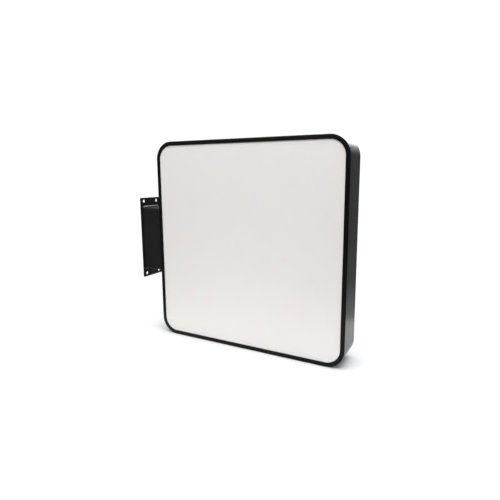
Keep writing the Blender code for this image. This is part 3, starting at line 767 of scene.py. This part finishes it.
def nut_profile(flat, thickness, bore):
    """Hexagon nut with chamfered corners and eased bore."""
    mouth = circle(bore + 0.3 * MM)
    shoulder = hexagon(flat, flat * 1.04)
    crown = circle(flat * 0.92)
    profile = [(0, mouth), (0, crown), (0.35 * MM, shoulder), (0.8 * MM, hexagon(flat))]
    profile += [(thickness - 0.8 * MM, hexagon(flat)), (thickness - 0.35 * MM, shoulder)]
    profile += [(thickness, crown), (thickness, mouth)]
    return profile + [(thickness - 0.3 * MM, circle(bore)), (0.3 * MM, circle(bore))]


def make_box_joint(zinc, paint):
    """End plate, backing plate, bolts and weld nuts between arm and light box."""
    plates = (("inner_backing_plate", "backing_plate", zinc), ("end_flange", "arm_end_plate", paint))
    for name, node, material in plates:
        low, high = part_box(node)
        plate = block(name, low, high, material)
        bm = bmesh.new()
        straight_hole(bm, Vector((low.x - MM, 0, 0)), X_AXIS, GLAND_HOLE_RADIUS)
        for number in range(1, 5):
            hole_for(bm, f"arm_bolt_{number}", low.x - MM, BOLT_HOLE_RADIUS)
        cut(plate, bm)
        soften(plate, 0.4 * MM)
        place(plate, ROOT, [node])
    for number in range(1, 5):
        node = f"arm_bolt_{number}"
        low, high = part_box(node)
        head = head_of(node)
        bolt = bolt_profile(BOLT_FLAT, BOLT_HEAD, BOLT_SHANK, high.x - low.x)
        turned_piece(f"hex_bolt_{number}", node, ROOT, zinc, head, -X_AXIS, bolt)
        node = f"weld_nut_{number}"
        low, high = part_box(node)
        base = Vector((low.x, head.y, head.z))
        nut = nut_profile(BOLT_FLAT, high.x - low.x, BOLT_HOLE_RADIUS)
        turned_piece(f"hex_nut_{number}", node, ROOT, zinc, base, X_AXIS, nut)


def make_gland(black, rubber):
    """Cable gland: hexagon body, domed cap, seal and lock nut."""
    flat = hexagon(GLAND_FLAT)
    shoulder = hexagon(GLAND_FLAT, GLAND_FLAT * 1.04)
    bore = circle(GLAND_BORE)
    thread = circle(GLAND_THREAD)
    neck_wall = circle(7.5 * MM)
    step = 0.5 * MM

    low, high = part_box("gland_body")
    neck = low.x
    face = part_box("arm_end_plate")[0].x - 0.3 * MM
    back = face - 5 * MM
    profile = [(neck, bore), (neck, circle(7.2 * MM)), (neck + 0.3 * MM, neck_wall), (back, neck_wall)]
    profile += [(back, shoulder), (back + step, flat), (face - step, flat), (face, shoulder)]
    profile += [(face, thread)]
    for turn in range(9):
        crest = face + (1 + turn * 1.5) * MM
        profile += [(crest, thread), (crest + 0.75 * MM, circle(7.4 * MM))]
    profile += [(high.x - 0.4 * MM, circle(7.6 * MM)), (high.x, circle(7.2 * MM)), (high.x, bore)]
    turned_piece("gland_hex_body", "gland_body", ROOT, black, Vector(), X_AXIS, profile, 48)

    low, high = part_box("gland_dome_nut")
    throat = neck - 0.3 * MM
    skirt = circle(7.8 * MM)
    seat = low.x + 2.5 * MM
    profile = [(low.x, bore), (low.x, circle(6.2 * MM)), (low.x + 1.5 * MM, circle(8.0 * MM))]
    profile += [(low.x + 3.2 * MM, circle(9.2 * MM))]
    profile += [(low.x + 5 * MM, hexagon(GLAND_FLAT, GLAND_FLAT * 1.02)), (low.x + 6 * MM, flat)]
    profile += [(high.x - step, flat), (high.x, shoulder), (high.x, skirt)]
    profile += [(throat, skirt), (seat, circle(6 * MM)), (seat, bore)]
    turned_piece("gland_cap", "gland_dome_nut", ROOT, black, Vector(), X_AXIS, profile, 48)

    low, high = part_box("gland_seal")
    grip = circle(3.6 * MM)
    profile = [(low.x, grip), (low.x, circle(5.5 * MM)), (high.x, circle(6.9 * MM)), (high.x, grip)]
    turned_piece("gland_seal_ring", "gland_seal", ROOT, rubber, Vector(), X_AXIS, profile, 48)

    low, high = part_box("gland_lock_nut")
    base = Vector((low.x, 0, 0))
    nut = nut_profile(GLAND_FLAT + MM, high.x - low.x, GLAND_HOLE_RADIUS)
    turned_piece("gland_ring_nut", "gland_lock_nut", ROOT, black, base, X_AXIS, nut)


# ---------------- lighting

def make_light_bar(number, aluminium):
    """Flat bar bent into a foot at each end, with rounded bends."""
    low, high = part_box(f"light_bar_{number}")
    half = 2 * MM
    foot = 3 * MM
    toe = high.y
    top = high.z
    bend = 2.5 * MM
    outline = [(-half, z) for z in (-top + 1.2 * MM, top - 1.2 * MM)]
    outline += [(-half + 1.2 * MM, top), (toe, top), (toe, top - foot), (half + bend, top - foot)]
    outline += arc((half + bend, top - foot - bend), bend, 90, 180, 5)[1:]
    outline += arc((half + bend, -top + foot + bend), bend, 180, 270, 5)
    outline += [(toe, -top + foot), (toe, -top), (-half + 1.2 * MM, -top)]
    bm = bmesh.new()
    add_prism(bm, [(low.x, y, z) for y, z in outline], X_AXIS * (high.x - low.x))
    bar = make_object(f"bent_light_bar_{number}", bm, [aluminium])
    bm = bmesh.new()
    for screw in (2 * number - 1, 2 * number):
        mouth, inward = outer_point(f"bar_screw_{screw}")
        straight_hole(bm, mouth, inward, FLUSH_HOLE_RADIUS, 8 * MM)
    cut(bar, bm)
    soften(bar, 0.3 * MM, 2)
    place(bar, ROOT, [f"light_bar_{number}"])


def make_led_strip(label, number, side, materials):
    """Board, diodes, lenses and connector of one strip."""
    node = f"{label}_led_strip_{number}"
    low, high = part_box(node)
    x = (low.x + high.x) / 2
    outer = BOARD_BACK + BOARD_THICKNESS
    outward = Y_AXIS * side
    near, far = sorted((side * BOARD_BACK, side * outer))
    start = Vector((low.x, near, low.z))
    board = block(f"{label}_board_{number}", start, Vector((high.x, far, high.z)), materials["board"])
    soften(board, 0.15 * MM, 2)
    place(board, ROOT, [node])

    finishes = {"diode": "white", "phosphor": "phosphor", "resistor": "black", "lens": "lens"}
    rows = {word: bmesh.new() for word in finishes}
    for step in range(LEDS_PER_STRIP):
        z = (step - (LEDS_PER_STRIP - 1) / 2) * LED_PITCH
        seat = Vector((x, side * outer, z))
        add_turned(rows["diode"], seat, outward, square_pad(2.5 * MM, 0.9 * MM), 32)
        dome = seat + outward * 0.92 * MM
        add_turned(rows["phosphor"], dome, outward, disc_pad(1.9 * MM, 0.15 * MM), 24)
        add_lens(rows["lens"], seat, outward)
        for way in (-1, 1):
            spot = seat + Vector((way * 3.4 * MM, 0, 11 * MM))
            add_resistor(rows["resistor"], spot, outward)
    for word, bm in rows.items():
        row = make_object(f"{label}_{word}_row_{number}", bm, [materials[finishes[word]]])
        place(row, ROOT)

    half_width = 6 * MM
    tall = 8 * MM
    deep = 5 * MM
    near, far = sorted((side * outer, side * (outer + deep)))
    start = Vector((x - half_width, near, low.z))
    stop = Vector((x + half_width, far, low.z + tall))
    plug = block(f"{label}_connector_{number}", start, stop, materials["white"])
    bm = bmesh.new()
    for way in (-1, 1):
        centre = Vector((x + way * 3 * MM, side * 6 * MM, low.z + 1.5 * MM))
        size = Vector((2 * MM, 1.3 * MM, 2.5 * MM))
        add_block(bm, centre - size, centre + size)
    cut(plug, bm)
    soften(plug, 0.25 * MM, 2)
    place(plug, ROOT)


def square_pad(half, height):
    """A small square package, as a turned profile with a square outline."""
    def outline(angle):
        return half / max(abs(math.cos(angle)), abs(math.sin(angle)))
    return [(0, None), (0, outline), (height, outline), (height, None)]


def disc_pad(radius, height):
    return [(0, None), (0, circle(radius)), (height, circle(radius * 0.96)), (height, None)]


def add_lens(bm, seat, outward):
    """Flanged dome lens, thick-walled over its diode."""
    profile = stations((0.05, 3.9), (0.05, 5), (0.9, 5), (1.1, 4.7))
    for step in range(8):
        angle = math.radians(90 * step / 8)
        profile += stations((1.3 + 2.7 * math.sin(angle), 4.5 * math.cos(angle)))
    profile += stations((4.0, None), (2.6, None))
    for step in range(5, -1, -1):
        angle = math.radians(90 * step / 6)
        profile += stations((1.3 + 1.3 * math.sin(angle), 3.7 * math.cos(angle)))
    add_turned(bm, seat, outward, profile, 32)


def add_resistor(bm, spot, outward):
    size = Vector((0.8 * MM, 0.35 * MM, 1.5 * MM))
    centre = spot + outward * 0.35 * MM
    add_block(bm, centre - size, centre + size)


def make_driver(materials):
    """Driver case in two shells with a dark parting groove, on two screwed tabs."""
    low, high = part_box("led_driver")
    near = low.x
    tab = 11 * MM
    parting = near + 20 * MM
    body_low = Vector((near, -20 * MM, low.z + tab))
    body_high = Vector((near + 28 * MM, 20 * MM, high.z - tab))
    base_high = Vector((parting, body_high.y, body_high.z))
    lid_low = Vector((parting + 0.5 * MM, body_low.y, body_low.z))
    base = block("driver_base", body_low, base_high, materials["white"])
    lid = block("driver_lid", lid_low, body_high, materials["white"])
    for shell, nodes in ((base, ["led_driver"]), (lid, [])):
        soften(shell, 1.2 * MM, 4)
        place(shell, ROOT, nodes)
    inset = Vector((0, 0.8 * MM, 0.8 * MM))
    core_low = Vector((parting - MM, body_low.y, body_low.z)) + inset
    core_high = Vector((parting + 2 * MM, body_high.y, body_high.z)) - inset
    place(block("driver_groove", core_low, core_high, materials["black"]), ROOT)
    bm = bmesh.new()
    for start, stop in ((low.z, low.z + tab), (high.z - tab, high.z)):
        add_block(bm, Vector((near, -12 * MM, start)), Vector((near + 2.5 * MM, 12 * MM, stop)))
    tabs = make_object("driver_tabs", bm, [materials["white"]])
    bm = bmesh.new()
    for number in (1, 2):
        hole_for(bm, f"driver_screw_{number}", near - MM, DRIVER_HOLE_RADIUS)
    cut(tabs, bm)
    soften(tabs, 0.4 * MM, 2)
    place(tabs, ROOT)
    for number in (1, 2):
        node = f"driver_screw_{number}"
        profile = stations((1.2, None), (1.0, cross(1.0 * MM)), (0.1, cross(1.8 * MM)), (0, 2.1))
        profile += stations((0.25, 2.9), (0.9, 3.4), (1.8, 3.5), (1.8, 1.8))
        profile += stations((6.4, 1.8), (6.6, 1.5), (6.6, None))
        head = head_of(node)
        turned_piece(f"pan_screw_{number}", node, ROOT, materials["zinc"], head, -X_AXIS, profile, 32)


def make_terminal_block(materials):
    """Three-pole block with screw wells on top and wire entries at both ends."""
    low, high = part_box("terminal_block")
    case = block("mains_terminal", low, high, materials["white"])
    bm = bmesh.new()
    screws = bmesh.new()
    middle = (low + high) / 2
    for pole in (-1, 0, 1):
        y = middle.y + pole * 7 * MM
        for way in (-1, 1):
            z = middle.z + way * 8 * MM
            straight_hole(bm, Vector((high.x + MM, y, z)), -X_AXIS, 2.6 * MM, 8 * MM)
            profile = stations((0.8, None), (0.8, cross(0.8 * MM)), (0, cross(1.5 * MM)), (0, 1.9))
            profile += stations((0.3, 2.2), (4, 2.2), (4, None))
            add_turned(screws, Vector((high.x - 3.5 * MM, y, z)), -X_AXIS, profile, 32)
            end = high.z + MM if way > 0 else low.z - MM
            if pole or way > 0:
                straight_hole(bm, Vector((low.x + 6 * MM, y, end)), Z_AXIS * -way, 2 * MM, 5 * MM)
    cut(case, bm)
    soften(case, 0.5 * MM, 3)
    place(case, ROOT, ["terminal_block"])
    place(make_object("terminal_screws", screws, [materials["brass"]]), ROOT)


# ---------------- leads

def smooth_route(points, spacing):
    """Catmull-Rom points through the route's own points, about spacing apart."""
    points = [Vector(point) * MM for point in points]
    knots = [points[0]] + points + [points[-1]]
    route = []
    for p0, p1, p2, p3 in zip(knots, knots[1:], knots[2:], knots[3:]):
        count = max(1, round((p2 - p1).length / spacing))
        for step in range(count):
            t = step / count
            cubic = (2 * p1 + (p2 - p0) * t + (2 * p0 - 5 * p1 + 4 * p2 - p3) * t ** 2
                     + (3 * p1 - p0 - 3 * p2 + p3) * t ** 3)
            route.append(cubic / 2)
    return route + [points[-1]]


def add_tube(name, route, radius, material):
    curve = bpy.data.curves.new(name, "CURVE")
    curve.dimensions = "3D"
    curve.bevel_depth = radius
    curve.bevel_resolution = 4
    curve.use_fill_caps = True
    curve.materials.append(material)
    spline = curve.splines.new("POLY")
    spline.points.add(len(route) - 1)
    for knot, point in zip(spline.points, route):
        knot.co = (*point, 1)
    spline.use_smooth = True
    item = bpy.data.objects.new(name, curve)
    bpy.context.scene.collection.objects.link(item)
    return item


def make_twin_lead(node, points, materials):
    """Two cores side by side, red and black, carried along the route without twisting."""
    route = smooth_route(points, 2 * MM)
    side = Y_AXIS.copy()
    cores = {"red": [], "sheath": []}
    for i, point in enumerate(route):
        ahead = route[min(i + 1, len(route) - 1)]
        behind = route[max(i - 1, 0)]
        tangent = (ahead - behind).normalized()
        side = (side - tangent * side.dot(tangent)).normalized()
        cores["red"].append(point + side * CORE_OFFSET)
        cores["sheath"].append(point - side * CORE_OFFSET)
    for number, (key, line) in enumerate(cores.items()):
        core = add_tube(f"{node}_core_{number + 1}", line, CORE_RADIUS, materials[key])
        place(core, ROOT, [node] if number == 0 else ())


def link_points(left, right, side):
    """Route of a link that hangs between two neighbouring strips, in millimetres."""
    top = STRIP_END_Z
    low = top - 16
    y = side * 6
    start = left / MM + 3
    stop = right / MM - 3
    points = [(start, y, top), (start, y, top - 5), (start + 4, y, low + 5), (start + 20, y, low)]
    return points + [(stop - 20, y, low), (stop - 4, y, low + 5), (stop, y, top - 5), (stop, y, top)]


def make_leads(materials):
    """Internal leads along the routes of the part's own lead nodes, in millimetres."""
    mains = [
        (78, 0, 91.7), (78, 0, 86), (82, 8, 66), (87, 14, 40), (89, 15, 0),
        (88, 13, -40), (85, 5, -70), (84, 0, -84), (84, 0, -91.7),
    ]
    sheath = add_tube("mains_sheath", smooth_route(mains, 3 * MM), SHEATH_RADIUS, materials["sheath"])
    place(sheath, ROOT, ["mains_link_lead"])
    first, middle, last = [middle_of(f"light_bar_{number}").x for number in (1, 2, 3)]
    end = first / MM - 3
    feed = [
        (84, 0, -194.3), (84, 0, -202), (87, -2, -216), (98, -4, -230), (120, -6, -236),
        (end - 18, -6, -236), (end - 4, -6, -231), (end, -6, -225), (end, -6, STRIP_END_Z),
    ]
    make_twin_lead("driver_output_lead", feed, materials)
    for side, label in ((-1, "front"), (1, "back")):
        make_twin_lead(f"{label}_link_lead_1", link_points(first, middle, side), materials)
        make_twin_lead(f"{label}_link_lead_2", link_points(middle, last, side), materials)
    end = last / MM + 3
    crossing = [
        (end, -6, STRIP_END_Z), (end, -6, -225), (end + 5, -6, -231), (end + 11, -3.5, -234),
        (end + 13, 0, -235), (end + 11, 3.5, -234), (end + 5, 6, -231), (end, 6, -225),
        (end, 6, STRIP_END_Z),
    ]
    make_twin_lead("crossing_lead", crossing, materials)


# ---------------- camera, floor and light

def make_camera():
    """The view from the front right, a little above the middle of the light box."""
    data = bpy.data.cameras.new("camera")
    data.lens = CAMERA_LENS
    data.sensor_width = 36
    data.shift_x, data.shift_y = CAMERA_SHIFT
    camera = bpy.data.objects.new("camera", data)
    camera.location = Vector((BOX_X, FRONT_LOW.y, 0)) + CAMERA_FROM_FACE
    camera.rotation_euler = (math.radians(90 - CAMERA_DIP), 0, math.radians(CAMERA_TURN))
    bpy.context.scene.collection.objects.link(camera)
    bpy.context.scene.camera = camera


def add_disc(name, radius, height):
    """A flat disc of the floor; returns its matt shader."""
    material = bpy.data.materials.new(name)
    material.use_nodes = True
    shader = material.node_tree.nodes["Principled BSDF"]
    shader.inputs["Roughness"].default_value = FLOOR_ROUGHNESS
    bm = bmesh.new()
    bmesh.ops.create_circle(bm, cap_ends=True, segments=96, radius=radius)
    disc = make_object(name, bm, [material])
    disc.location = (BOX_X, 0, height)
    return shader


def make_floor():
    """A plain pale disc, and a wider one, unseen by the camera, whose grey darkens outwards as a painted
    light falloff seen in reflections.
    """
    near_shader = add_disc("near_floor", FLOOR_RADIUS, FLOOR_Z - 0.2 * MM)
    near_shader.inputs["Base Color"].default_value = (FLOOR_GREY, FLOOR_GREY, FLOOR_GREY, 1)
    far_shader = add_disc("far_floor", FAR_FLOOR_RADIUS, FLOOR_Z - 1.2 * MM)
    bpy.data.objects["far_floor"].visible_camera = False
    tree = far_shader.id_data
    coordinates = tree.nodes.new("ShaderNodeTexCoord")
    distance = tree.nodes.new("ShaderNodeVectorMath")
    distance.operation = "LENGTH"
    painted_falloff = tree.nodes.new("ShaderNodeValToRGB")
    painted_falloff.color_ramp.elements.remove(painted_falloff.color_ramp.elements[1])
    # Painted light falloff: the far floor's grey darkens outwards in place of light fading with distance.
    for number, (radius, grey) in enumerate(FAR_FLOOR_PAINTED_FALLOFF):
        stop = painted_falloff.color_ramp.elements[0] if number == 0 else painted_falloff.color_ramp.elements.new(radius)
        stop.position = radius
        stop.color = (grey, grey, grey, 1)
    tree.links.new(coordinates.outputs["Object"], distance.inputs[0])
    tree.links.new(distance.outputs["Value"], painted_falloff.inputs["Fac"])
    tree.links.new(painted_falloff.outputs["Color"], far_shader.inputs["Base Color"])


def add_softbox(name, location, target, size, power, colour=(1, 1, 1)):
    data = bpy.data.lights.new(name, "AREA")
    data.shape = "SQUARE"
    data.size = size
    data.energy = power
    data.color = colour
    light = bpy.data.objects.new(name, data)
    light.location = location
    light.rotation_mode = "QUATERNION"
    light.rotation_quaternion = (target - location).to_track_quat("-Z", "Y")
    bpy.context.scene.collection.objects.link(light)


def make_light():
    """Softboxes above, in front and behind, in a dim room that brightens upwards; white behind all."""
    centre = Vector((BOX_X, 0, 0))
    add_softbox("top_softbox", centre + Vector((0.15, -0.3, 1.5)), centre, 1.9, 49)
    add_softbox("front_softbox", centre + Vector((-0.8, -2.1, 1.25)), centre, 1.6, 12.5)
    add_softbox("back_softbox", centre + Vector((-0.15, 1.96, 0.9)), centre, 1.0, 14, (0.86, 0.94, 1.0))
    world = bpy.data.worlds.new("studio")
    world.use_nodes = True
    bpy.context.scene.world = world
    tree = world.node_tree
    direction = tree.nodes.new("ShaderNodeTexCoord")
    split = tree.nodes.new("ShaderNodeSeparateXYZ")
    height = tree.nodes.new("ShaderNodeMapRange")
    limits = {"From Min": ROOM_DIM_BELOW, "From Max": ROOM_BRIGHT_ABOVE}
    limits |= {"To Min": ROOM_DIM, "To Max": ROOM_BRIGHT}
    for socket, value in limits.items():
        height.inputs[socket].default_value = value
    room = tree.nodes["Background"]
    room.inputs["Color"].default_value = (0.97, 1.0, 1.0, 1)
    tree.links.new(direction.outputs["Generated"], split.inputs["Vector"])
    tree.links.new(split.outputs["Z"], height.inputs["Value"])
    tree.links.new(height.outputs["Result"], room.inputs["Strength"])
    backdrop = tree.nodes.new("ShaderNodeBackground")
    backdrop.inputs["Color"].default_value = (1, 1, 1, 1)
    backdrop.inputs["Strength"].default_value = BACKDROP
    path = tree.nodes.new("ShaderNodeLightPath")
    mix = tree.nodes.new("ShaderNodeMixShader")
    tree.links.new(path.outputs["Is Camera Ray"], mix.inputs["Fac"])
    tree.links.new(room.outputs["Background"], mix.inputs[1])
    tree.links.new(backdrop.outputs["Background"], mix.inputs[2])
    tree.links.new(mix.outputs["Shader"], tree.nodes["World Output"].inputs["Surface"])
    bpy.context.scene.view_settings.view_transform = "Standard"


def main():
    make_camera()
    materials = make_materials()
    for side, label in ((-1, "front"), (1, "back")):
        body = label + "_face"
        make_trim(side, label, body, materials["trim"])
        make_set_screws(label, body, materials["zinc"])
        make_panel(side, label, body, materials["opal"])
        make_gasket(label, body, materials["foam"])
        for number in (1, 2, 3):
            make_led_strip(label, number, side, materials)
    make_band(materials["band"], materials["inside"])
    make_flush_screws(materials["zinc"], materials["aluminium"])
    make_splice(materials["aluminium"])
    make_wall_plate(materials["bracket"])
    make_arm(materials["bracket"])
    make_weld(materials["weld"])
    make_box_joint(materials["zinc"], materials["bracket"])
    make_gland(materials["black"], materials["rubber"])
    for number in (1, 2, 3):
        make_light_bar(number, materials["aluminium"])
    make_driver(materials)
    make_terminal_block(materials)
    make_leads(materials)
    make_floor()
    make_light()


main()
